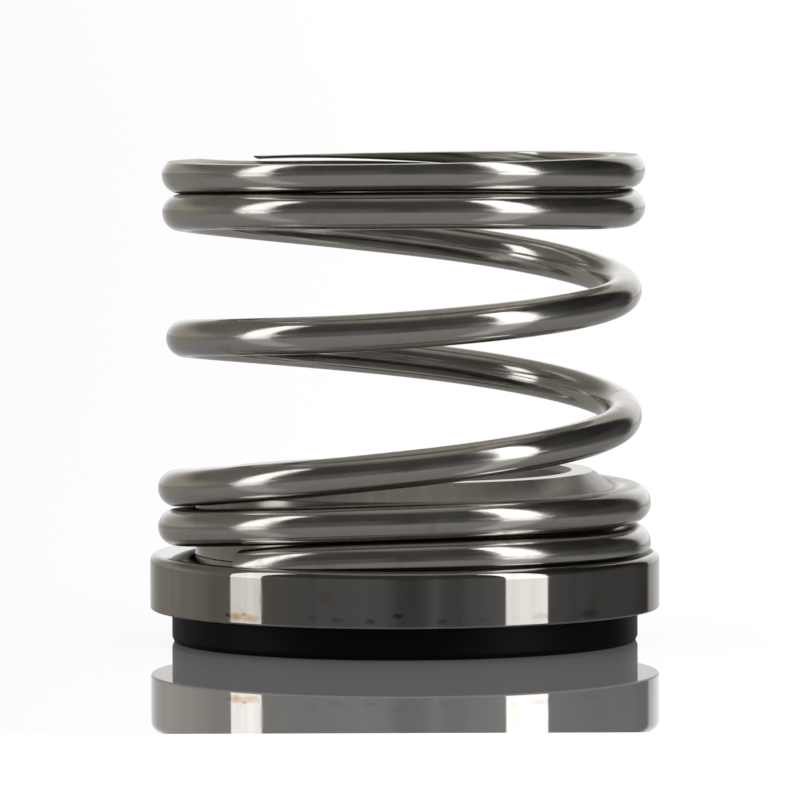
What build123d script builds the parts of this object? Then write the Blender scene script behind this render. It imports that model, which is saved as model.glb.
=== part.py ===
from build123d import *
import math
import os

# Rotary head of a single-spring mechanical face seal, standing on its seal face.
# Millimetres, Z up, origin on the shaft's axis in the plane of the lapped face.

# Shaft and the running gap of the head's bore around it
shaft_diameter = 35.0
bore_gap = 0.25

# Black seal face ring, pressed into the underside of the head
face_diameter = 51.2
face_bore_diameter = 38.0
face_height = 6.0
face_seat_depth = 2.4
face_edge_width = 0.25
face_edge_height = 0.55
face_bore_chamfer = 0.4

# Stainless head: a flange with a hub that the spring grips
flange_diameter = 56.0
flange_thickness = 6.12
flange_lower_edge = 0.3
flange_rounding = 1.0
hub_diameter = 46.0
hub_height = 8.98
hub_chamfer_width = 2.3
hub_chamfer_height = 1.9
bore_lead_in = 0.6

# Rubber ring in a groove of the bore, drawn at its size on the shaft, just clear of both
o_ring_section = 3.0
o_ring_groove_width = 4.0
o_ring_groove_floor = 0.48
o_ring_clearance = 0.05

# Spring: round wire, wound right-hand, both ends closed and ground flat
wire_diameter = 4.0
spring_free_height = 43.28
grip_gap = 0.08
open_turn_diameter = 48.2
top_turn_diameter = 49.0
ground_side_tilt = 0.65
ground_back_tilt = 0.5
spring_start_angle = 223.0
spring_end_angle = 2290.0
points_per_turn = 12
wire_stretches = 12

# The wire's climb, one value for each quarter turn (left, front, right, back), from the left
# of the bottom turn. The closed turns climb in steps, because each passes over a tip.
# bottom_climb is in wire diameters above the flange, open_climb in shares of the open
# stretch, and top_climb in wire diameters below the ground top.
bottom_climb = (-0.33, 0.28, 0.24, 0.39, 0.705, 1.288, 1.35, 1.48, 1.77)
open_climb = (0.122, 0.263, 0.42, 0.543, 0.614, 0.717, 0.874)
top_climb = (1.5, 1.19, 1.35, 0.9, 0.44, 0.17, 0.33, -0.3, -0.63)

# Turns over which the winding narrows above the hub, and widens again at the top
narrowing_turns = (1.87, 2.4)
widening_turns = (3.6, 3.95)

# Sizes worked out from the values above
wire_radius = wire_diameter / 2
shaft_radius = shaft_diameter / 2
bore_radius = shaft_radius + bore_gap
face_radius = face_diameter / 2
flange_radius = flange_diameter / 2
hub_radius = hub_diameter / 2
flange_bottom = face_height - face_seat_depth
flange_top = flange_bottom + flange_thickness
hub_top = flange_top + hub_height
o_ring_radius = shaft_radius + o_ring_clearance + o_ring_section / 2
groove_radius = o_ring_radius + o_ring_section / 2 + o_ring_clearance
groove_bottom = flange_top + o_ring_groove_floor
groove_top = groove_bottom + o_ring_groove_width
grip_radius = hub_radius + grip_gap + wire_radius


def smooth_step(share):
    """Rise smoothly from 0 to 1 as share goes from 0 to 1."""
    share = min(max(share, 0.0), 1.0)
    return share * share * (3 - 2 * share)


def quarter_heights():
    """Height of the wire's centre above the flange at each quarter turn."""
    low = [climb * wire_diameter for climb in bottom_climb]
    high = [spring_free_height - climb * wire_diameter for climb in top_climb]
    stretch = high[0] - low[-1]
    middle = [low[-1] + climb * stretch for climb in open_climb]
    return low + middle + high


def wire_height(angle, heights):
    """Height of the wire's centre, on a smooth curve through the quarter turns' heights."""
    position = (angle - 180) / 90
    step = min(max(int(position), 1), len(heights) - 3)
    share = position - step
    before, start, end, after = heights[step - 1:step + 3]
    slope_in = (end - before) / 2
    slope_out = (after - start) / 2
    cube, square = share ** 3, share ** 2
    return (
        (2 * cube - 3 * square + 1) * start
        + (cube - 2 * square + share) * slope_in
        + (3 * square - 2 * cube) * end
        + (cube - square) * slope_out
    )


climb_heights = quarter_heights()


def winding_radius(angle):
    """Radius of the winding: tight on the hub, narrower above it, wider again at the top."""
    turns = (angle - spring_start_angle) / 360
    narrowed = smooth_step((turns - narrowing_turns[0]) / (narrowing_turns[1] - narrowing_turns[0]))
    widened = smooth_step((turns - widening_turns[0]) / (widening_turns[1] - widening_turns[0]))
    radius = grip_radius + (open_turn_diameter / 2 - grip_radius) * narrowed
    return radius + (top_turn_diameter - open_turn_diameter) / 2 * widened


def winding_point(angle):
    """Point of the wire's centre line at an angle about the shaft's axis."""
    radius = winding_radius(angle)
    direction = math.radians(angle)
    height = flange_top + wire_height(angle, climb_heights)
    return Vector(radius * math.cos(direction), radius * math.sin(direction), height)


def winding_points():
    """Points of the wire's centre line, from the bottom tip to the top tip."""
    swing = spring_end_angle - spring_start_angle
    count = round(swing / 360 * points_per_turn)
    return [winding_point(spring_start_angle + swing * index / count) for index in range(count + 1)]


# Seal face: a plain ring with its outer edge eased where it meets the seat
with BuildPart() as seal_face:
    with BuildSketch(Plane.XZ):
        with BuildLine():
            Polyline(
                (face_bore_diameter / 2, face_bore_chamfer),
                (face_bore_diameter / 2 + face_bore_chamfer, 0),
                (face_radius - face_edge_width, 0),
                (face_radius, face_edge_height),
                (face_radius, face_height),
                (face_bore_diameter / 2, face_height),
                close=True,
            )
        make_face()
    revolve(axis=Axis.Z)

# Head: flange and hub turned from one bar, bored for the shaft
with BuildPart() as seal_head:
    with BuildSketch(Plane.XY.offset(flange_bottom)):
        Circle(flange_radius)
    extrude(amount=flange_thickness)
    flange_rims = seal_head.edges().filter_by(GeomType.CIRCLE).sort_by(Axis.Z)
    chamfer(flange_rims[0], length=flange_lower_edge)
    fillet(flange_rims[-1], radius=flange_rounding)
    with BuildSketch(Plane.XY.offset(flange_top)):
        Circle(hub_radius)
    extrude(amount=hub_height)
    hub_rim = seal_head.faces().sort_by(Axis.Z)[-1].edges()
    chamfer(hub_rim, length=hub_chamfer_height, length2=hub_chamfer_width)
    with BuildSketch(Plane.XY.offset(hub_top)):
        Circle(bore_radius)
    extrude(amount=flange_bottom - hub_top, mode=Mode.SUBTRACT)
    bore_rim = seal_head.faces().sort_by(Axis.Z)[-1].edges().sort_by(SortBy.RADIUS)[0]
    chamfer(bore_rim, length=bore_lead_in)
    with BuildSketch(Plane.XY.offset(flange_bottom)):
        Circle(face_radius)
    extrude(amount=face_seat_depth, mode=Mode.SUBTRACT)
    with BuildSketch(Plane.XY.offset(groove_bottom)):
        Circle(groove_radius)
    extrude(amount=groove_top - groove_bottom, mode=Mode.SUBTRACT)

# O-ring, in the middle of its groove
with BuildPart() as shaft_o_ring:
    with BuildSketch(Plane.XZ):
        with Locations((o_ring_radius, (groove_bottom + groove_top) / 2)):
            Circle(o_ring_section / 2)
    revolve(axis=Axis.Z)

# Spring: the wire swept along its winding, then ground flat at both ends
with BuildPart() as compression_spring:
    with BuildLine() as winding:
        Spline(*winding_points())
    centre_line = winding.edges()[0]
    for index in range(wire_stretches):
        stretch = centre_line.trim(index / wire_stretches, (index + 1) / wire_stretches)
        with BuildSketch(Plane(origin=stretch @ 0, z_dir=stretch % 0)):
            Circle(wire_radius)
        sweep(path=stretch, is_frenet=True)
    split(bisect_by=Plane.XY.offset(flange_top), keep=Keep.TOP)
    level_top = Plane.XY.offset(flange_top + spring_free_height)
    ground_top = level_top.rotated((-ground_back_tilt, -ground_side_tilt, 0))
    split(bisect_by=ground_top, keep=Keep.BOTTOM)

seal_face.part.label = "seal_face"
seal_head.part.label = "seal_head"
shaft_o_ring.part.label = "shaft_o_ring"
compression_spring.part.label = "compression_spring"

os.makedirs("parts", exist_ok=True)
export_step(seal_face.part, "parts/seal_face.step")
export_step(seal_head.part, "parts/seal_head.step")
export_step(shaft_o_ring.part, "parts/shaft_o_ring.step")
export_step(compression_spring.part, "parts/compression_spring.step")
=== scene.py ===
import math

import bmesh
import bpy
import numpy as np
from mathutils import Matrix, Vector


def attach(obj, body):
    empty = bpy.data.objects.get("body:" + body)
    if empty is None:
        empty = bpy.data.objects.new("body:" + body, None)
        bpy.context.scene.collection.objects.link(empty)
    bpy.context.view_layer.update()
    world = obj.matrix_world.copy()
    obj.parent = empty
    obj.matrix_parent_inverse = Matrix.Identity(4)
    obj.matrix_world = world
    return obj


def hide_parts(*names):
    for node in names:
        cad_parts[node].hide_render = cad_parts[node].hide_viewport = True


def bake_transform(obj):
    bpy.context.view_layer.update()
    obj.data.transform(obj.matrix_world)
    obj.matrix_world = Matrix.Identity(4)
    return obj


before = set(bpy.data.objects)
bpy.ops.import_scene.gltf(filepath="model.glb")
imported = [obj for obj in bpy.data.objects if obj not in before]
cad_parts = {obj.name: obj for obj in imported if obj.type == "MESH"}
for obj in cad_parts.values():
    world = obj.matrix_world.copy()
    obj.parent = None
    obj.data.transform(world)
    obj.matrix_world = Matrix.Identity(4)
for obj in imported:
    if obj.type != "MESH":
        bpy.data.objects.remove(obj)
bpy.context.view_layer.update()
mm = 0.001  # the part is drawn in millimetres and stands in metres
print("frame loaded")


def hexToLinear(code):  # an sRGB hex colour as the linear colour that sockets take
    channels = [int(code[i:i + 2], 16) / 255 for i in (1, 3, 5)]
    linear = [c / 12.92 if c <= 0.04045 else ((c + 0.055) / 1.055) ** 2.4 for c in channels]
    return (*linear, 1.0)


def addNode(tree, kind, inputs=None, **settings):  # a node with its settings, and its values or links
    node = tree.nodes.new(kind)
    for name, value in settings.items():
        setattr(node, name, value)
    for name, value in (inputs or {}).items():
        if isinstance(value, bpy.types.NodeSocket):
            tree.links.new(value, node.inputs[name])
        else:
            node.inputs[name].default_value = value
    return node


def startMaterial(name):
    material = bpy.data.materials.new(name)
    material.use_nodes = True
    material.node_tree.nodes.clear()
    return material, material.node_tree


def finishMaterial(material, tree, shader):
    addNode(tree, "ShaderNodeOutputMaterial", {"Surface": shader})
    return material


# Metals

wireLook = {
    "steel": "#d6d3ce",  # bright stainless, a little warm
    "roughness": 0.095,
    "dulling": (0.8, 1.9), "dulledFrom": (0.35, 0.75),  # times the roughness, over this span of the patches
    "stain": "#8a6a4c",  # tea-coloured handling stain
    "stainPatch": 3.5,  # mm
    "stainFrom": (0.6, 0.8), "stainShare": 0.55,  # span of the patches that shows, and how strongly
    "drawMarkWidth": 0.09,  # mm across the wire; real ones are finer and would not show
    "drawMarkLength": 9.0,  # mm along the wire
    "drawMarkDepth": 0.012,  # mm
    "drawMarkRoughness": 0.05,
    "pitting": 0.22, "pitDepth": 0.01,  # mm, between specks and into the steel
    "relief": 0.25,
    "wireRadius": 2.015,  # mm, half of the spring's wire below
    "contactShade": "#7d776b", "contactShadeRoughness": 0.3,  # painted shade, darker and rougher, along the lines where closed turns rest on each other
    "contactShadeEdge": (0.86, 0.97),  # sine of the angle round the wire, where the painted shade starts and is full
    "contactShadeOnTop": ((190, 250), (560, 600)),  # mm along the wire where the painted shade fades out, and in again
    "contactShadeBelow": ((290, 330), (715, 750)),
    "ground": "#c9c4b8", "groundRoughness": 0.36,
    "groundLevel": 0.9995,  # a face that lies as level as this was ground
    "flattened": (680, 755), "flattenedSine": -0.45,  # under the top tip the turn is worn flat, on its top
}


def drawnStainlessWire():
    # Stainless spring wire, drawn through a die: bright, with fine marks along the wire,
    # a few specks and faint brown stains. The marks stretch highlights along the turns.
    look = wireLook
    material, tree = startMaterial("drawnStainlessWire")
    place = addNode(tree, "ShaderNodeAttribute", attribute_name="wirePlace")  # mm along and round the wire
    parts = addNode(tree, "ShaderNodeSeparateXYZ", {"Vector": place.outputs["Vector"]})
    here = addNode(tree, "ShaderNodeNewGeometry")

    # Draw marks, specks and stains
    along = addNode(tree, "ShaderNodeMath", {
        0: parts.outputs["X"], 1: look["drawMarkLength"],
    }, operation="DIVIDE")
    across = addNode(tree, "ShaderNodeMath", {
        0: parts.outputs["Y"], 1: look["drawMarkWidth"],
    }, operation="DIVIDE")
    stretched = addNode(tree, "ShaderNodeCombineXYZ", {"X": along.outputs[0], "Y": across.outputs[0]})
    marks = addNode(tree, "ShaderNodeTexNoise", {
        "Vector": stretched.outputs[0], "Scale": 1.0, "Detail": 3.0,
    })
    patches = addNode(tree, "ShaderNodeTexNoise", {
        "Vector": here.outputs["Position"], "Scale": 1 / (look["stainPatch"] * mm),
        "Detail": 4.0, "Roughness": 0.62,
    })
    specks = addNode(tree, "ShaderNodeTexNoise", {
        "Vector": here.outputs["Position"], "Scale": 1 / (look["pitting"] * mm), "Detail": 2.0,
    })
    stained = addNode(tree, "ShaderNodeMapRange", {
        "Value": patches.outputs["Fac"], "From Min": look["stainFrom"][0], "From Max": look["stainFrom"][1],
        "To Min": 0.0, "To Max": look["stainShare"],
    })
    colour = addNode(tree, "ShaderNodeMix", {
        "Factor": stained.outputs[0], 6: hexToLinear(look["steel"]), 7: hexToLinear(look["stain"]),
    }, data_type="RGBA")
    dulled = addNode(tree, "ShaderNodeMapRange", {
        "Value": patches.outputs["Fac"], "From Min": look["dulledFrom"][0], "From Max": look["dulledFrom"][1],
        "To Min": look["roughness"] * look["dulling"][0], "To Max": look["roughness"] * look["dulling"][1],
    })
    rough = addNode(tree, "ShaderNodeMath", {
        0: marks.outputs["Fac"], 1: look["drawMarkRoughness"], 2: dulled.outputs[0],
    }, operation="MULTIPLY_ADD")
    marked = addNode(tree, "ShaderNodeBump", {
        "Height": marks.outputs["Fac"], "Strength": look["relief"], "Distance": look["drawMarkDepth"] * mm,
    })
    pitted = addNode(tree, "ShaderNodeBump", {
        "Height": specks.outputs["Fac"], "Normal": marked.outputs[0],
        "Strength": look["relief"], "Distance": look["pitDepth"] * mm,
    })

    # Painted shade where closed turns rest on each other, on the wire's top and underside
    turn = addNode(tree, "ShaderNodeMath", {
        0: parts.outputs["Y"], 1: look["wireRadius"],
    }, operation="DIVIDE")
    fall = addNode(tree, "ShaderNodeMath", {0: turn.outputs[0]}, operation="SINE")  # 1 at the underside
    steep = addNode(tree, "ShaderNodeMath", {0: fall.outputs[0]}, operation="ABSOLUTE")
    sides = []
    for start, end in (look["contactShadeOnTop"], look["contactShadeBelow"]):
        low = addNode(tree, "ShaderNodeMapRange", {
            "Value": parts.outputs["X"], "From Min": start[0], "From Max": start[1],
            "To Min": 1.0, "To Max": 0.0,
        })
        high = addNode(tree, "ShaderNodeMapRange", {
            "Value": parts.outputs["X"], "From Min": end[0], "From Max": end[1],
        })
        side = addNode(tree, "ShaderNodeMath", {0: low.outputs[0], 1: high.outputs[0]}, operation="ADD")
        sides.append(side.outputs[0])
    isUp = addNode(tree, "ShaderNodeMath", {0: fall.outputs[0], 1: 0.0}, operation="LESS_THAN")
    closed = addNode(tree, "ShaderNodeMix", {
        "Factor": isUp.outputs[0], 2: sides[1], 3: sides[0],
    })
    resting = addNode(tree, "ShaderNodeMapRange", {
        "Value": steep.outputs[0], "From Min": look["contactShadeEdge"][0], "From Max": look["contactShadeEdge"][1],
    })
    contactShading = addNode(tree, "ShaderNodeMath", {
        0: resting.outputs[0], 1: closed.outputs[0],
    }, operation="MULTIPLY")
    # painted shade: a darker colour on the steel where the turns touch
    shadedColour = addNode(tree, "ShaderNodeMix", {
        "Factor": contactShading.outputs[0], 6: colour.outputs[2], 7: hexToLinear(look["contactShade"]),
    }, data_type="RGBA")
    shadedRough = addNode(tree, "ShaderNodeMix", {
        "Factor": contactShading.outputs[0], 2: rough.outputs[0], 3: look["contactShadeRoughness"],
    })

    # Ground ends, and the flat worn under the top tip
    facets = addNode(tree, "ShaderNodeSeparateXYZ", {"Vector": here.outputs["True Normal"]})
    level = addNode(tree, "ShaderNodeMath", {0: facets.outputs["Z"]}, operation="ABSOLUTE")
    cutFlat = addNode(tree, "ShaderNodeMath", {
        0: level.outputs[0], 1: look["groundLevel"],
    }, operation="GREATER_THAN")
    first = addNode(tree, "ShaderNodeMath", {
        0: parts.outputs["X"], 1: look["flattened"][0],
    }, operation="GREATER_THAN")
    last = addNode(tree, "ShaderNodeMath", {
        0: parts.outputs["X"], 1: look["flattened"][1],
    }, operation="LESS_THAN")
    between = addNode(tree, "ShaderNodeMath", {0: first.outputs[0], 1: last.outputs[0]}, operation="MULTIPLY")
    onTop = addNode(tree, "ShaderNodeMath", {
        0: fall.outputs[0], 1: look["flattenedSine"],
    }, operation="LESS_THAN")
    wornFlat = addNode(tree, "ShaderNodeMath", {
        0: between.outputs[0], 1: onTop.outputs[0],
    }, operation="MULTIPLY")
    isGround = addNode(tree, "ShaderNodeMath", {
        0: cutFlat.outputs[0], 1: wornFlat.outputs[0],
    }, operation="MAXIMUM")
    endColour = addNode(tree, "ShaderNodeMix", {
        "Factor": isGround.outputs[0], 6: shadedColour.outputs[2], 7: hexToLinear(look["ground"]),
    }, data_type="RGBA")
    endRough = addNode(tree, "ShaderNodeMix", {
        "Factor": isGround.outputs[0], 2: shadedRough.outputs[0], 3: look["groundRoughness"],
    })
    steel = addNode(tree, "ShaderNodeBsdfPrincipled", {
        "Base Color": endColour.outputs[2], "Metallic": 1.0,
        "Roughness": endRough.outputs[0], "Normal": pitted.outputs[0],
    })
    return finishMaterial(material, tree, steel.outputs[0])


headLook = {
    "steel": "#bfbcb8",
    "roughness": 0.04,
    "dulling": 2.5, "dulledFrom": (0.4, 0.8),  # times the roughness, over this span of the patches
    "stain": "#93704f",
    "stainPatch": 4.0,  # mm
    "stainFrom": (0.6, 0.78), "stainShare": 0.5,  # span of the patches that shows, and how strongly
    "hubRoughness": 0.18,  # the hub is left as turned, only the flange is polished
    "hubFrom": 9.8,  # mm above the table
    "chamferRoughness": 0.32, "chamfer": (16.7, 18.66),  # mm above the table
    "boreRoughness": 0.5, "boreRadius": 18.4,  # mm
    "bands": 0.11, "bandsPerRadian": 15.0, "bandsFrom": (0.3, 0.7),  # painted reflection: the brightness drifts round the flange
    "markRadius": 27.8,  # mm; the marks below lie outside it, on the flange's wall
    "markGrain": 0.5,  # mm, of the marks' ragged edges
    "markRaggedness": 1.6, "markFade": (0.75, 2.0),  # both in squared reaches from the mark's middle
    "marks": (  # bearing and height, reach in degrees and mm, strength and colour
        (-40.5, 4.45, 2.6, 0.5, 0.75, "#a07844"), (-36.3, 4.35, 2.4, 0.45, 0.7, "#a8814e"),
        (-43.0, 4.55, 0.8, 0.25, 0.8, "#7a5b36"), (-38.2, 4.75, 0.9, 0.2, 0.75, "#84603a"),
        (-21.0, 4.7, 1.0, 0.26, 0.3, "#43352b"), (-15.0, 4.5, 1.8, 0.32, 0.45, "#43352b"),
        (-7.7, 4.4, 1.4, 0.34, 0.5, "#332a24"), (-1.5, 5.0, 1.4, 0.32, 0.72, "#1c1613"),
        (8.0, 4.4, 1.4, 0.28, 0.5, "#2b211c"), (17.5, 4.5, 1.2, 0.24, 0.25, "#43352b"),
        (32.0, 4.6, 3.0, 0.45, 0.4, "#a08a8a"), (45.0, 4.5, 3.4, 0.5, 0.5, "#4f4038"),
    ),
    "seatShade": "#2e2b27", "seatRoughness": 0.3,  # painted shade where the spring rests on the flange's top
    "seatHeight": 9.72, "seatReach": 0.14,  # mm, the flange's top and how far from it the painted shade reaches
    "seatRadius": 27.3, "seatFromX": -17.5,  # mm
    "toolMark": 0.16,  # mm of feed between turning marks, coarser than the real 0.05 mm so that it shows
    "toolMarkDepth": 0.006, "relief": 0.2,  # depth in mm
}


def turnedStainless():
    # Stainless bar turned and polished on a lathe: nearly a mirror, with rings of fine tool
    # marks that soften reflections up and down, small rust freckles and tan water stains.
    look = headLook
    material, tree = startMaterial("turnedStainless")
    here = addNode(tree, "ShaderNodeNewGeometry")
    parts = addNode(tree, "ShaderNodeSeparateXYZ", {"Vector": here.outputs["Position"]})
    squareX = addNode(tree, "ShaderNodeMath", {
        0: parts.outputs["X"], 1: parts.outputs["X"],
    }, operation="MULTIPLY")
    square = addNode(tree, "ShaderNodeMath", {
        0: parts.outputs["Y"], 1: parts.outputs["Y"], 2: squareX.outputs[0],
    }, operation="MULTIPLY_ADD")
    radius = addNode(tree, "ShaderNodeMath", {0: square.outputs[0]}, operation="SQRT")
    ahead = addNode(tree, "ShaderNodeMath", {0: parts.outputs["Y"], 1: -1.0}, operation="MULTIPLY")
    bearing = addNode(tree, "ShaderNodeMath", {
        0: parts.outputs["X"], 1: ahead.outputs[0],
    }, operation="ARCTAN2")

    # Tool marks and stains
    ringPlace = addNode(tree, "ShaderNodeCombineXYZ", {"X": radius.outputs[0], "Y": parts.outputs["Z"]})
    toolMarks = addNode(tree, "ShaderNodeTexNoise", {
        "Vector": ringPlace.outputs[0], "Scale": 1 / (look["toolMark"] * mm), "Detail": 2.0,
    })
    relief = addNode(tree, "ShaderNodeBump", {
        "Height": toolMarks.outputs["Fac"],
        "Strength": look["relief"], "Distance": look["toolMarkDepth"] * mm,
    })
    patches = addNode(tree, "ShaderNodeTexNoise", {
        "Vector": here.outputs["Position"], "Scale": 1 / (look["stainPatch"] * mm),
        "Detail": 5.0, "Roughness": 0.65,
    })
    stained = addNode(tree, "ShaderNodeMapRange", {
        "Value": patches.outputs["Fac"], "From Min": look["stainFrom"][0], "From Max": look["stainFrom"][1],
        "To Min": 0.0, "To Max": look["stainShare"],
    })
    colour = addNode(tree, "ShaderNodeMix", {
        "Factor": stained.outputs[0], 6: hexToLinear(look["steel"]), 7: hexToLinear(look["stain"]),
    }, data_type="RGBA")
    dulled = addNode(tree, "ShaderNodeMapRange", {
        "Value": patches.outputs["Fac"], "From Min": look["dulledFrom"][0], "From Max": look["dulledFrom"][1],
        "To Min": look["roughness"], "To Max": look["roughness"] * look["dulling"],
    })

    # Hub, chamfer and bore are duller than the flange
    onHub = addNode(tree, "ShaderNodeMath", {
        0: parts.outputs["Z"], 1: look["hubFrom"] * mm,
    }, operation="GREATER_THAN")
    hubRough = addNode(tree, "ShaderNodeMix", {
        "Factor": onHub.outputs[0], 2: dulled.outputs[0], 3: look["hubRoughness"],
    })
    fromChamfer = addNode(tree, "ShaderNodeMath", {
        0: parts.outputs["Z"], 1: look["chamfer"][0] * mm,
    }, operation="GREATER_THAN")
    toChamfer = addNode(tree, "ShaderNodeMath", {
        0: parts.outputs["Z"], 1: look["chamfer"][1] * mm,
    }, operation="LESS_THAN")
    onChamfer = addNode(tree, "ShaderNodeMath", {
        0: fromChamfer.outputs[0], 1: toChamfer.outputs[0],
    }, operation="MULTIPLY")
    topRough = addNode(tree, "ShaderNodeMix", {
        "Factor": onChamfer.outputs[0], 2: hubRough.outputs[0], 3: look["chamferRoughness"],
    })
    inBore = addNode(tree, "ShaderNodeMath", {
        0: radius.outputs[0], 1: look["boreRadius"] * mm,
    }, operation="LESS_THAN")
    allRough = addNode(tree, "ShaderNodeMix", {
        "Factor": inBore.outputs[0], 2: topRough.outputs[0], 3: look["boreRoughness"],
    })

    # Rust and water marks on the flange's wall
    onWall = addNode(tree, "ShaderNodeMath", {
        0: radius.outputs[0], 1: look["markRadius"] * mm,
    }, operation="GREATER_THAN")
    ragged = addNode(tree, "ShaderNodeTexNoise", {
        "Vector": here.outputs["Position"], "Scale": 1 / (look["markGrain"] * mm), "Detail": 3.0,
    })
    spotted = colour.outputs[2]
    for angle, height, reach, tall, strength, stain in look["marks"]:
        sideways = addNode(tree, "ShaderNodeMath", {
            0: bearing.outputs[0], 1: math.degrees(1) / reach, 2: -angle / reach,
        }, operation="MULTIPLY_ADD")
        upwards = addNode(tree, "ShaderNodeMath", {
            0: parts.outputs["Z"], 1: 1 / (tall * mm), 2: -height / tall,
        }, operation="MULTIPLY_ADD")
        squared = addNode(tree, "ShaderNodeMath", {
            0: upwards.outputs[0], 1: upwards.outputs[0],
        }, operation="MULTIPLY")
        away = addNode(tree, "ShaderNodeMath", {
            0: sideways.outputs[0], 1: sideways.outputs[0], 2: squared.outputs[0],
        }, operation="MULTIPLY_ADD")
        edge = addNode(tree, "ShaderNodeMath", {
            0: ragged.outputs["Fac"], 1: look["markRaggedness"], 2: away.outputs[0],
        }, operation="MULTIPLY_ADD")
        spot = addNode(tree, "ShaderNodeMapRange", {
            "Value": edge.outputs[0], "From Min": look["markFade"][0], "From Max": look["markFade"][1],
            "To Min": strength, "To Max": 0.0,
        })
        share = addNode(tree, "ShaderNodeMath", {
            0: spot.outputs[0], 1: onWall.outputs[0],
        }, operation="MULTIPLY")
        spotted = addNode(tree, "ShaderNodeMix", {
            "Factor": share.outputs[0], 6: spotted, 7: hexToLinear(stain),
        }, data_type="RGBA").outputs[2]

    # Painted reflections: faint bands of brightness round the shaft's axis
    bandPlace = addNode(tree, "ShaderNodeCombineXYZ", {"X": bearing.outputs[0]})
    drift = addNode(tree, "ShaderNodeTexNoise", {
        "Vector": bandPlace.outputs[0], "Scale": look["bandsPerRadian"], "Detail": 3.0,
    })
    banded = addNode(tree, "ShaderNodeMapRange", {
        "Value": drift.outputs["Fac"], "From Min": look["bandsFrom"][0], "From Max": look["bandsFrom"][1],
        "To Min": 1 - look["bands"], "To Max": 1 + look["bands"],
    })
    drifted = addNode(tree, "ShaderNodeVectorMath", {
        0: spotted, "Scale": banded.outputs[0],
    }, operation="SCALE")

    # Painted shade on the flange's top under the spring, from its bottom tip on
    onFlange = addNode(tree, "ShaderNodeMath", {
        0: parts.outputs["Z"], 1: look["seatHeight"] * mm, 2: look["seatReach"] * mm,
    }, operation="COMPARE")
    underWire = addNode(tree, "ShaderNodeMath", {
        0: radius.outputs[0], 1: look["seatRadius"] * mm,
    }, operation="LESS_THAN")
    pastTip = addNode(tree, "ShaderNodeMath", {
        0: parts.outputs["X"], 1: look["seatFromX"] * mm,
    }, operation="GREATER_THAN")
    seatRing = addNode(tree, "ShaderNodeMath", {
        0: onFlange.outputs[0], 1: underWire.outputs[0],
    }, operation="MULTIPLY")
    seat = addNode(tree, "ShaderNodeMath", {
        0: seatRing.outputs[0], 1: pastTip.outputs[0],
    }, operation="MULTIPLY")
    # painted shade: the flange's top darkened under the spring
    seated = addNode(tree, "ShaderNodeMix", {
        "Factor": seat.outputs[0], 6: drifted.outputs[0], 7: hexToLinear(look["seatShade"]),
    }, data_type="RGBA")
    seatRough = addNode(tree, "ShaderNodeMix", {
        "Factor": seat.outputs[0], 2: allRough.outputs[0], 3: look["seatRoughness"],
    })
    steel = addNode(tree, "ShaderNodeBsdfPrincipled", {
        "Base Color": seated.outputs[2], "Metallic": 1.0,
        "Roughness": seatRough.outputs[0], "Normal": relief.outputs[0],
    })
    return finishMaterial(material, tree, steel.outputs[0])


# Face ring and O-ring

carbonLook = {
    "carbon": "#030303", "worn": "#080808", "roughness": (0.4, 0.56), "ior": 1.25,
    "grain": 0.35, "grainDepth": 0.01, "relief": 0.2,  # grain and depth in mm
}


def pressedCarbon():
    # Resin-bonded carbon, moulded and lapped: black with a soft satin sheen and a fine grain.
    look = carbonLook
    material, tree = startMaterial("pressedCarbon")
    here = addNode(tree, "ShaderNodeNewGeometry")
    grain = addNode(tree, "ShaderNodeTexNoise", {
        "Vector": here.outputs["Position"], "Scale": 1 / (look["grain"] * mm), "Detail": 4.0,
    })
    colour = addNode(tree, "ShaderNodeMix", {
        "Factor": grain.outputs["Fac"], 6: hexToLinear(look["carbon"]), 7: hexToLinear(look["worn"]),
    }, data_type="RGBA")
    rough = addNode(tree, "ShaderNodeMapRange", {
        "Value": grain.outputs["Fac"], "To Min": look["roughness"][0], "To Max": look["roughness"][1],
    })
    relief = addNode(tree, "ShaderNodeBump", {
        "Height": grain.outputs["Fac"], "Strength": look["relief"], "Distance": look["grainDepth"] * mm,
    })
    carbon = addNode(tree, "ShaderNodeBsdfPrincipled", {
        "Base Color": colour.outputs[2], "Roughness": rough.outputs[0],
        "IOR": look["ior"], "Normal": relief.outputs[0],
    })
    return finishMaterial(material, tree, carbon.outputs[0])


rubberLook = {
    "rubber": "#1d1c1b", "bloom": "#34322f", "roughness": 0.55, "ior": 1.52,
    "grain": 0.5, "grainDepth": 0.01, "relief": 0.15,  # grain and depth in mm
}


def mouldedNitrile():
    # Nitrile rubber from a polished mould: soft black, with a faint grey bloom.
    look = rubberLook
    material, tree = startMaterial("mouldedNitrile")
    here = addNode(tree, "ShaderNodeNewGeometry")
    bloom = addNode(tree, "ShaderNodeTexNoise", {
        "Vector": here.outputs["Position"], "Scale": 1 / (look["grain"] * mm), "Detail": 4.0,
    })
    colour = addNode(tree, "ShaderNodeMix", {
        "Factor": bloom.outputs["Fac"], 6: hexToLinear(look["rubber"]), 7: hexToLinear(look["bloom"]),
    }, data_type="RGBA")
    relief = addNode(tree, "ShaderNodeBump", {
        "Height": bloom.outputs["Fac"], "Strength": look["relief"], "Distance": look["grainDepth"] * mm,
    })
    rubber = addNode(tree, "ShaderNodeBsdfPrincipled", {
        "Base Color": colour.outputs[2], "Roughness": look["roughness"],
        "IOR": look["ior"], "Normal": relief.outputs[0],
    })
    return finishMaterial(material, tree, rubber.outputs[0])


wireSteel = drawnStainlessWire()
headSteel = turnedStainless()
faceCarbon = pressedCarbon()
ringRubber = mouldedNitrile()
print("materials made")


def makeObject(name, points, faces, material):
    mesh = bpy.data.meshes.new(name)
    mesh.from_pydata([tuple(point) for point in points], [], faces)
    mesh.materials.append(material)
    mesh.shade_smooth()
    piece = bpy.data.objects.new(name, mesh)
    bpy.context.scene.collection.objects.link(piece)
    return piece


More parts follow.
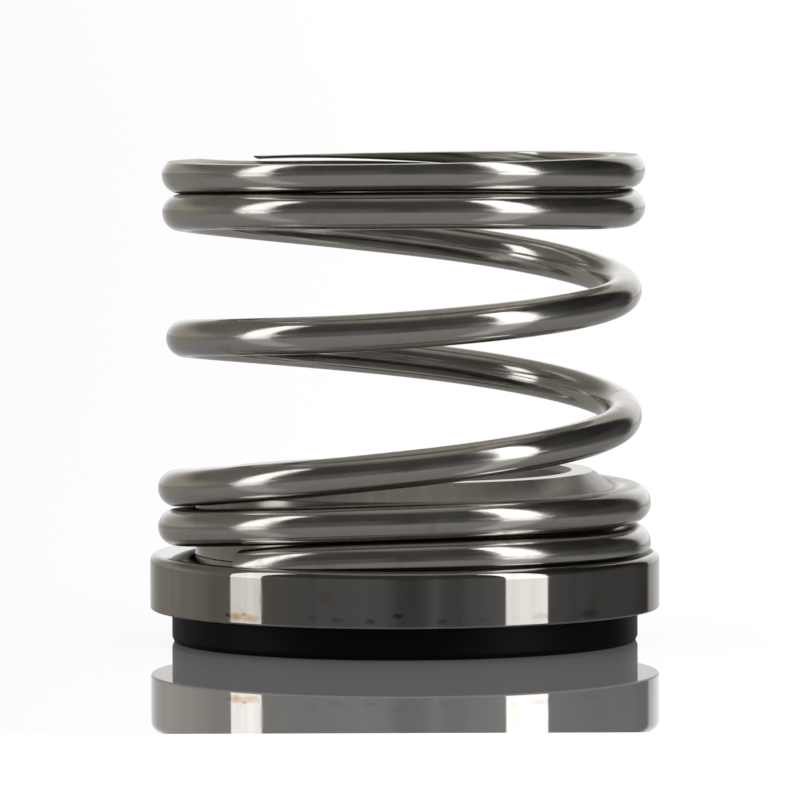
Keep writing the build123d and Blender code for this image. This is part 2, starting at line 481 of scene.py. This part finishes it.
def markSharp(piece, degrees):  # edges that turn more than this stay crisp
    work = bmesh.new()
    work.from_mesh(piece.data)
    bmesh.ops.recalc_face_normals(work, faces=work.faces)
    for edge in work.edges:
        if len(edge.link_faces) == 2:
            edge.smooth = edge.calc_face_angle(0) < math.radians(degrees)
    work.to_mesh(piece.data)
    work.free()


# Turned pieces

turning = {"roundingSteps": 6, "flatMargin": 0.02, "crispAngle": 22}  # margin in mm, angle in degrees


def roundCorners(corners):  # corners are (radius, height, rounding), all in mm
    line = []
    steps, margin = turning["roundingSteps"], turning["flatMargin"]
    for index, (r, z, rounding) in enumerate(corners):
        here = Vector((r, z))
        if rounding <= 0:
            line.append(here)
            continue
        back = (Vector(corners[index - 1][:2]) - here).normalized()
        ahead = (Vector(corners[(index + 1) % len(corners)][:2]) - here).normalized()
        start, end = here + back * rounding, here + ahead * rounding
        line.append(start + back * margin)  # a row just outside each rounding keeps the flats beside it flat
        for step in range(steps + 1):
            share = step / steps
            line.append(start * (1 - share) ** 2 + here * 2 * share * (1 - share) + end * share ** 2)
        line.append(end + ahead * margin)
    return line


def turnProfile(name, corners, material, segments):  # a closed profile turned about the shaft's axis
    line = roundCorners(corners)
    count = len(line)
    points, faces = [], []
    for segment in range(segments):
        angle = 2 * math.pi * segment / segments
        following = (segment + 1) % segments
        for index, point in enumerate(line):
            points.append((point.x * math.cos(angle) * mm, point.x * math.sin(angle) * mm, point.y * mm))
            ahead = (index + 1) % count
            corner = ((segment, index), (following, index), (following, ahead), (segment, ahead))
            faces.append(tuple(a * count + b for a, b in corner))
    piece = makeObject(name, points, faces, material)
    markSharp(piece, turning["crispAngle"])
    return piece


# Seal face ring

faceSizes = {
    "outer": 25.6, "bore": 19.0, "height": 6.0, "edgeWidth": 0.25, "edgeHeight": 0.55,
    "boreChamfer": 0.4, "softening": 0.08, "segments": 256,
}

s = faceSizes
faceRing = turnProfile("sealFaceRing", [
    (s["bore"], s["boreChamfer"], s["softening"]),
    (s["bore"] + s["boreChamfer"], 0, s["softening"]),
    (s["outer"] - s["edgeWidth"], 0, s["softening"]),
    (s["outer"], s["edgeHeight"], s["softening"]),
    (s["outer"], s["height"], 0),
    (s["bore"], s["height"], s["softening"]),
], faceCarbon, s["segments"])
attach(faceRing, "head")
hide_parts("seal_face")
print("face ring made")

# Flanged hub

headSizes = {
    "flange": 28.0, "flangeBottom": 3.6, "flangeTop": 9.72, "flangeLowerEdge": 0.16, "flangeRounding": 1.0,
    "hub": 23.0, "hubTop": 18.7, "chamferWidth": 2.3, "chamferHeight": 1.9,
    "bore": 17.75, "leadIn": 0.6, "seat": 25.6, "seatTop": 6.0,
    "grooveRadius": 20.6, "grooveBottom": 10.2, "grooveTop": 14.2,
    "softening": 0.07, "edgeSoftening": 0.05, "rootRadius": 0.1, "grooveLip": 0.1, "grooveRoot": 0.2,
    "segments": 320,
}

s = headSizes
head = turnProfile("flangedHub", [
    (s["seat"], s["flangeBottom"], s["edgeSoftening"]),
    (s["flange"] - s["flangeLowerEdge"], s["flangeBottom"], s["edgeSoftening"]),
    (s["flange"], s["flangeBottom"] + s["flangeLowerEdge"], s["edgeSoftening"]),
    (s["flange"], s["flangeTop"], s["flangeRounding"]),
    (s["hub"], s["flangeTop"], s["rootRadius"]),
    (s["hub"], s["hubTop"] - s["chamferHeight"], s["softening"]),
    (s["hub"] - s["chamferWidth"], s["hubTop"], s["softening"]),
    (s["bore"] + s["leadIn"], s["hubTop"], s["softening"]),
    (s["bore"], s["hubTop"] - s["leadIn"], s["softening"]),
    (s["bore"], s["grooveTop"], s["grooveLip"]),
    (s["grooveRadius"], s["grooveTop"], s["grooveRoot"]),
    (s["grooveRadius"], s["grooveBottom"], s["grooveRoot"]),
    (s["bore"], s["grooveBottom"], s["grooveLip"]),
    (s["bore"], s["seatTop"], s["edgeSoftening"]),
    (s["seat"], s["seatTop"], s["rootRadius"]),
], headSteel, s["segments"])
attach(head, "head")
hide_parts("seal_head")
print("head made")

# O-ring

ringSizes = {"middle": 19.05, "height": 12.2, "section": 1.5, "flash": 0.05, "segments": 160, "around": 36}

s = ringSizes
ringPoints, ringFaces = [], []
for segment in range(s["segments"]):
    angle = 2 * math.pi * segment / s["segments"]
    following = (segment + 1) % s["segments"]
    for index in range(s["around"]):
        turn = 2 * math.pi * index / s["around"]
        onLine = index in (0, s["around"] // 2)  # the mould's parting line stands out, inside and out
        reach = s["section"] if onLine else s["section"] - s["flash"]
        radius = s["middle"] + reach * math.cos(turn)
        height = s["height"] + reach * math.sin(turn)
        ringPoints.append((radius * math.cos(angle) * mm, radius * math.sin(angle) * mm, height * mm))
        ahead = (index + 1) % s["around"]
        corner = ((segment, index), (following, index), (following, ahead), (segment, ahead))
        ringFaces.append(tuple(a * s["around"] + b for a, b in corner))
oRing = makeObject("shaftORing", ringPoints, ringFaces, ringRubber)
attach(oRing, "head")
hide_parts("shaft_o_ring")
print("o-ring made")

# Spring

springSizes = {
    "wire": 4.03, "climbUnit": 4.0, "flangeTop": 9.72, "freeHeight": 43.28, "sideTilt": 0.65, "backTilt": 0.5,
    "startAngle": 223.0, "bottomTip": 226.5, "topTip": 2291.2,
    "gripRadius": 25.08, "openRadius": 24.1, "topRadius": 24.5,
    "narrowing": (1.87, 2.4), "widening": (3.6, 3.95),  # in turns from the start angle
    # The climb at each quarter turn: in climb units above the flange, in shares of the open stretch,
    # and in climb units below the ground top
    "bottomClimb": (-0.33, 0.28, 0.24, 0.39, 0.705, 1.288, 1.35, 1.48, 1.77),
    "openClimb": (0.122, 0.263, 0.42, 0.543, 0.614, 0.717, 0.874),
    "topClimb": (1.48, 1.19, 1.35, 0.8, 0.44, 0.17, 0.33, -0.22, -0.7),
    "dipAngle": 1935.0, "dipDepth": 0.45, "dipSpread": 30.0,  # the turn under the top tip ducks beneath it
    "stepsPerTurn": 132, "around": 56, "crispAngle": 40,
}


def smoothStep(share):
    share = np.clip(share, 0, 1)
    return share * share * (3 - 2 * share)


def windingHeights():  # height of the wire's middle at each quarter turn, from the left of the bottom turn
    s = springSizes
    low = [climb * s["climbUnit"] for climb in s["bottomClimb"]]
    high = [s["freeHeight"] - climb * s["climbUnit"] for climb in s["topClimb"]]
    middle = [low[-1] + climb * (high[0] - low[-1]) for climb in s["openClimb"]]
    return np.array(low + middle + high)


def windingLine(angles):  # the wire's middle line, in mm
    s = springSizes
    heights = windingHeights()
    position = (angles - 180) / 90  # in quarter turns from the left
    step = np.clip(position.astype(int), 1, len(heights) - 3)
    share = position - step
    before, start, end, after = (heights[step + offset] for offset in (-1, 0, 1, 2))
    slopeIn, slopeOut = (end - before) / 2, (after - start) / 2
    cube, square = share ** 3, share ** 2
    height = (
        (2 * cube - 3 * square + 1) * start + (cube - 2 * square + share) * slopeIn
        + (3 * square - 2 * cube) * end + (cube - square) * slopeOut
    )
    height = height - s["dipDepth"] * np.exp(-((angles - s["dipAngle"]) / s["dipSpread"]) ** 2)
    turns = (angles - s["startAngle"]) / 360
    narrowed = smoothStep((turns - s["narrowing"][0]) / (s["narrowing"][1] - s["narrowing"][0]))
    widened = smoothStep((turns - s["widening"][0]) / (s["widening"][1] - s["widening"][0]))
    narrower, wider = s["openRadius"] - s["gripRadius"], s["topRadius"] - s["openRadius"]
    radius = s["gripRadius"] + narrower * narrowed + wider * widened
    direction = np.radians(angles)
    return np.stack([radius * np.cos(direction), radius * np.sin(direction), s["flangeTop"] + height], 1)


def windSpring():
    s = springSizes
    around, radius = s["around"], s["wire"] / 2
    count = round((s["topTip"] - s["bottomTip"]) / 360 * s["stepsPerTurn"]) + 1
    line = windingLine(np.linspace(s["bottomTip"], s["topTip"], count))
    tangent = np.gradient(line, axis=0)
    tangent /= np.linalg.norm(tangent, axis=1)[:, None]
    outward = line * [1, 1, 0]
    outward -= (outward * tangent).sum(1)[:, None] * tangent
    outward /= np.linalg.norm(outward, axis=1)[:, None]
    downward = np.cross(tangent, outward)
    length = np.concatenate([[0], np.cumsum(np.linalg.norm(np.diff(line, axis=0), axis=1))])
    turn = np.linspace(0, 2 * math.pi, around, endpoint=False)
    rings = (
        line[:, None, :]
        + radius * np.cos(turn)[None, :, None] * outward[:, None, :]
        + radius * np.sin(turn)[None, :, None] * downward[:, None, :]
    )
    faces = []
    for i in range(count - 1):
        for j in range(around):
            k = (j + 1) % around
            faces.append((i * around + j, i * around + k, (i + 1) * around + k, (i + 1) * around + j))
    faces.append(tuple(reversed(range(around))))
    faces.append(tuple((count - 1) * around + j for j in range(around)))
    spring = makeObject("compressionSpring", list(rings.reshape(-1, 3) * mm), faces, wireSteel)
    place = [(length[i], radius * turn[j], 0) for i in range(count) for j in range(around)]
    attribute = spring.data.attributes.new("wirePlace", "FLOAT_VECTOR", "POINT")
    attribute.data.foreach_set("vector", np.array(place, np.float32).ravel())
    return spring


def grindEnd(spring, height, sideTilt, backTilt, keepAbove):  # cuts the wire off flat and closes the cut
    side, back = math.radians(sideTilt), math.radians(backTilt)
    direction = Vector((-math.sin(side), math.cos(side) * math.sin(back), math.cos(side) * math.cos(back)))
    work = bmesh.new()
    work.from_mesh(spring.data)
    whole = work.verts[:] + work.edges[:] + work.faces[:]
    cut = bmesh.ops.bisect_plane(
        work, geom=whole, plane_co=(0, 0, height * mm), plane_no=direction,
        clear_inner=keepAbove, clear_outer=not keepAbove,
        dist=1e-9,  # metres; points nearer than this count as lying on the cut
    )
    rim = [item for item in cut["geom_cut"] if isinstance(item, bmesh.types.BMEdge) and item.is_boundary]
    filled = bmesh.ops.edgenet_fill(work, edges=rim)
    bmesh.ops.triangulate(work, faces=filled["faces"])
    work.to_mesh(spring.data)
    work.free()


spring = windSpring()
s = springSizes
grindEnd(spring, s["flangeTop"], 0, 0, keepAbove=True)
grindEnd(spring, s["flangeTop"] + s["freeHeight"], s["sideTilt"], s["backTilt"], keepAbove=False)
markSharp(spring, s["crispAngle"])
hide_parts("compression_spring")
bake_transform(spring)
print("spring wound")

# Floor: a glossy table that the camera sees as white and the metal sees as grey

floorLook = {
    "seen": "#ffffff", "glow": 1.5, "ownGlow": 0.16,  # what the camera sees, and the share of it that glows
    "table": "#8c8b8a", "dimmed": "#e3e2e1",  # what the metal sees
    "mirrorShare": 0.9, "grazing": 0.9,  # the share mirrored at a low angle, and where it is reached
    "steepShare": 0.16, "steep": 0.72,  # and the same from above
    "blur": 0.02, "roomBlur": 0.1,
    "frontEdge": -0.1025, "halfWidth": 8.0,  # metres
}


def glossyTable():
    # Polished white laminate: it mirrors the seal at the camera's low angle and hardly at all from above.
    look = floorLook
    material, tree = startMaterial("glossyTable")
    path = addNode(tree, "ShaderNodeLightPath")
    here = addNode(tree, "ShaderNodeNewGeometry")
    parts = addNode(tree, "ShaderNodeSeparateXYZ", {"Vector": here.outputs["Position"]})
    isCamera = path.outputs["Is Camera Ray"]
    facing = addNode(tree, "ShaderNodeLayerWeight", {"Blend": 0.5})
    share = addNode(tree, "ShaderNodeMapRange", {
        "Value": facing.outputs["Facing"], "From Min": look["steep"], "From Max": look["grazing"],
        "To Min": look["steepShare"], "To Max": look["mirrorShare"],
    })
    behindEdge = addNode(tree, "ShaderNodeMath", {
        0: parts.outputs["Y"], 1: look["frontEdge"],
    }, operation="GREATER_THAN")
    notCamera = addNode(tree, "ShaderNodeMath", {0: 1.0, 1: isCamera}, operation="SUBTRACT")
    mirrorHere = addNode(tree, "ShaderNodeMath", {
        0: behindEdge.outputs[0], 1: notCamera.outputs[0],
    }, operation="MAXIMUM")
    mirror = addNode(tree, "ShaderNodeMath", {
        0: share.outputs[0], 1: mirrorHere.outputs[0],
    }, operation="MULTIPLY")
    lit = addNode(tree, "ShaderNodeBsdfDiffuse", {"Color": hexToLinear(look["seen"])})
    glow = addNode(tree, "ShaderNodeEmission", {"Color": hexToLinear(look["seen"]), "Strength": look["glow"]})
    white = addNode(tree, "ShaderNodeMixShader", {0: look["ownGlow"], 1: lit.outputs[0], 2: glow.outputs[0]})
    grey = addNode(tree, "ShaderNodeBsdfDiffuse", {"Color": hexToLinear(look["table"])})
    body = addNode(tree, "ShaderNodeMixShader", {0: isCamera, 1: grey.outputs[0], 2: white.outputs[0]})
    tint = addNode(tree, "ShaderNodeMix", {
        "Factor": isCamera, 6: hexToLinear(look["dimmed"]), 7: hexToLinear(look["seen"]),
    }, data_type="RGBA")
    blur = addNode(tree, "ShaderNodeMix", {"Factor": isCamera, 2: look["roomBlur"], 3: look["blur"]})
    gloss = addNode(tree, "ShaderNodeBsdfGlossy", {"Color": tint.outputs[2], "Roughness": blur.outputs[0]})
    both = addNode(tree, "ShaderNodeMixShader", {
        0: mirror.outputs[0], 1: body.outputs[0], 2: gloss.outputs[0],
    })
    return finishMaterial(material, tree, both.outputs[0])


wide = floorLook["halfWidth"]
floorCorners = [(-wide, -wide, 0), (wide, -wide, 0), (wide, wide, 0), (-wide, wide, 0)]
floor = makeObject("floor", floorCorners, [(0, 1, 2, 3)], glossyTable())
print("floor laid")

# Room: what the metal mirrors. Bearings run round from the camera's side, left negative.

roomLook = {
    "low": (  # brightness of the walls at table height, by bearing
        (-180, 1.0), (-170, 0.85), (-163, 0.6), (-155, 0.42), (-147, 0.35), (-119, 0.32), (-109, 0.26),
        (-92, 0.18), (-60, 0.125), (-46, 0.11), (-12, 0.127), (-7, 0.1), (-2, 0.052), (4, 0.052), (9, 0.073),
        (14, 0.12), (20, 0.08), (25, 0.078), (31, 0.115), (42, 0.15), (73, 0.09), (95, 0.06), (123, 0.062),
        (135, 0.035), (143, 0.035), (146, 0.5), (153, 0.72), (170, 1.0), (180, 1.0),
    ),
    "high": (  # and higher up
        (-180, 0.3), (-160, 0.22), (-146, 0.15), (-130, 0.14), (-85, 0.15), (-62, 0.05), (62, 0.05),
        (80, 0.03), (110, 0.016), (141, 0.016), (145, 0.4), (160, 0.42), (180, 0.3),
    ),
    "highFrom": (0.1, 0.34), "zenithFrom": (0.82, 0.97),  # sine of the height above the horizon
    "behindFrom": (0.5, 0.9), "backLift": 0.2,  # behind the seal the low walls reach higher
    "leftWarmth": (1.0, 0.93, 0.8), "leftSide": (-150, -50), "highWarmth": (1.0, 0.94, 0.84),
    "zenith": "#8f8c82",
    "plain": 0.9,  # grey level of the light that isn't mirrored
}


def setRamp(node, walls, warmth, warmSide):  # the brightness of the walls, by bearing, as a ramp of colours
    ramp = node.color_ramp
    while len(ramp.elements) > 1:
        ramp.elements.remove(ramp.elements[-1])
    for index, (bearing, brightness) in enumerate(walls):
        position = (bearing + 180) / 360
        tint = warmth if warmSide[0] < bearing < warmSide[1] else (1.0, 1.0, 1.0)
        element = ramp.elements[0] if index == 0 else ramp.elements.new(position)
        element.position = position
        element.color = (*(brightness * channel for channel in tint), 1.0)
    return node


def lightRoom():
    look = roomLook
    world = bpy.data.worlds.new("studioRoom")
    bpy.context.scene.world = world
    world.use_nodes = True
    tree = world.node_tree
    tree.nodes.clear()
    way = addNode(tree, "ShaderNodeTexCoord")
    parts = addNode(tree, "ShaderNodeSeparateXYZ", {"Vector": way.outputs["Generated"]})
    ahead = addNode(tree, "ShaderNodeMath", {0: parts.outputs["Y"], 1: -1.0}, operation="MULTIPLY")
    bearing = addNode(tree, "ShaderNodeMath", {
        0: parts.outputs["X"], 1: ahead.outputs[0],
    }, operation="ARCTAN2")
    share = addNode(tree, "ShaderNodeMapRange", {
        "Value": bearing.outputs[0], "From Min": -math.pi, "From Max": math.pi,
    })
    low = addNode(tree, "ShaderNodeValToRGB", {"Fac": share.outputs[0]})
    setRamp(low, look["low"], look["leftWarmth"], look["leftSide"])
    high = addNode(tree, "ShaderNodeValToRGB", {"Fac": share.outputs[0]})
    setRamp(high, look["high"], look["highWarmth"], (-360, 360))
    behind = addNode(tree, "ShaderNodeMapRange", {
        "Value": parts.outputs["Y"], "From Min": look["behindFrom"][0], "From Max": look["behindFrom"][1],
    })
    lifted = addNode(tree, "ShaderNodeMath", {
        0: behind.outputs[0], 1: -look["backLift"], 2: parts.outputs["Z"],
    }, operation="MULTIPLY_ADD")
    up = addNode(tree, "ShaderNodeMapRange", {
        "Value": lifted.outputs[0], "From Min": look["highFrom"][0], "From Max": look["highFrom"][1],
    })
    top = addNode(tree, "ShaderNodeMapRange", {
        "Value": parts.outputs["Z"], "From Min": look["zenithFrom"][0], "From Max": look["zenithFrom"][1],
    })
    above = addNode(tree, "ShaderNodeMix", {
        "Factor": up.outputs[0], 6: low.outputs[0], 7: high.outputs[0],
    }, data_type="RGBA")
    studio = addNode(tree, "ShaderNodeMix", {
        "Factor": top.outputs[0], 6: above.outputs[2], 7: hexToLinear(look["zenith"]),
    }, data_type="RGBA")
    path = addNode(tree, "ShaderNodeLightPath")
    mirrored = addNode(tree, "ShaderNodeMix", {
        "Factor": path.outputs["Is Glossy Ray"], 6: (look["plain"],) * 3 + (1,), 7: studio.outputs[2],
    }, data_type="RGBA")
    seen = addNode(tree, "ShaderNodeMix", {
        "Factor": path.outputs["Is Camera Ray"], 6: mirrored.outputs[2], 7: (1, 1, 1, 1),
    }, data_type="RGBA")
    room = addNode(tree, "ShaderNodeBackground", {"Color": seen.outputs[2], "Strength": 1.0})
    addNode(tree, "ShaderNodeOutputWorld", {"Surface": room.outputs[0]})


softBoxes = {  # bearing in degrees from the camera's side, sizes in metres
    "left": {"bearing": -74.6, "distance": 0.5, "width": 0.15, "height": 0.64, "glow": 1.45},
    "right": {"bearing": 55.3, "distance": 0.5, "width": 0.182, "height": 0.8, "glow": 1.95},
}


def hangSoftBox(name, bearing, distance, width, height, glow):  # it stands on the table, facing the seal
    light = bpy.data.lights.new(name, "AREA")
    light.shape, light.size, light.size_y = "RECTANGLE", width, height
    light.energy = glow * math.pi * width * height
    lamp = bpy.data.objects.new(name, light)
    angle = math.radians(bearing)
    lamp.location = (distance * math.sin(angle), -distance * math.cos(angle), height / 2)
    lamp.rotation_euler = (math.radians(90), 0, angle)
    lamp.visible_camera = False
    bpy.context.scene.collection.objects.link(lamp)


lightRoom()
for name, box in softBoxes.items():
    hangSoftBox(name + "SoftBox", **box)
print("room lit")

# Camera

cameraSetting = {
    "target": 26.41, "distance": 957.8,  # mm
    "pitch": 3.586, "roll": 0.193,  # degrees
    "focalLength": 8716, "axisColumn": 404.18, "frame": 800,  # pixels
    "sensor": 36.0,  # mm
    "clip": (0.05, 50),  # metres
}


def placeCamera():
    c = cameraSetting
    data = bpy.data.cameras.new("camera")
    data.sensor_width = c["sensor"]
    data.lens = c["focalLength"] / c["frame"] * c["sensor"]
    data.clip_start, data.clip_end = c["clip"]
    pitch, roll = math.radians(c["pitch"]), math.radians(c["roll"])
    yaw = (c["axisColumn"] - c["frame"] / 2) / c["focalLength"]
    camera = bpy.data.objects.new("camera", data)
    height = c["target"] + c["distance"] * math.sin(pitch)
    spot = Vector((0, -c["distance"] * math.cos(pitch), height)) * mm
    aim = Matrix.Rotation(yaw, 4, "Z") @ Matrix.Rotation(math.radians(90) - pitch, 4, "X")
    camera.matrix_world = Matrix.Translation(spot) @ aim @ Matrix.Rotation(-roll, 4, "Z")
    bpy.context.scene.collection.objects.link(camera)
    bpy.context.scene.camera = camera


placeCamera()
bpy.context.scene.view_settings.view_transform = "Standard"
print("camera placed")
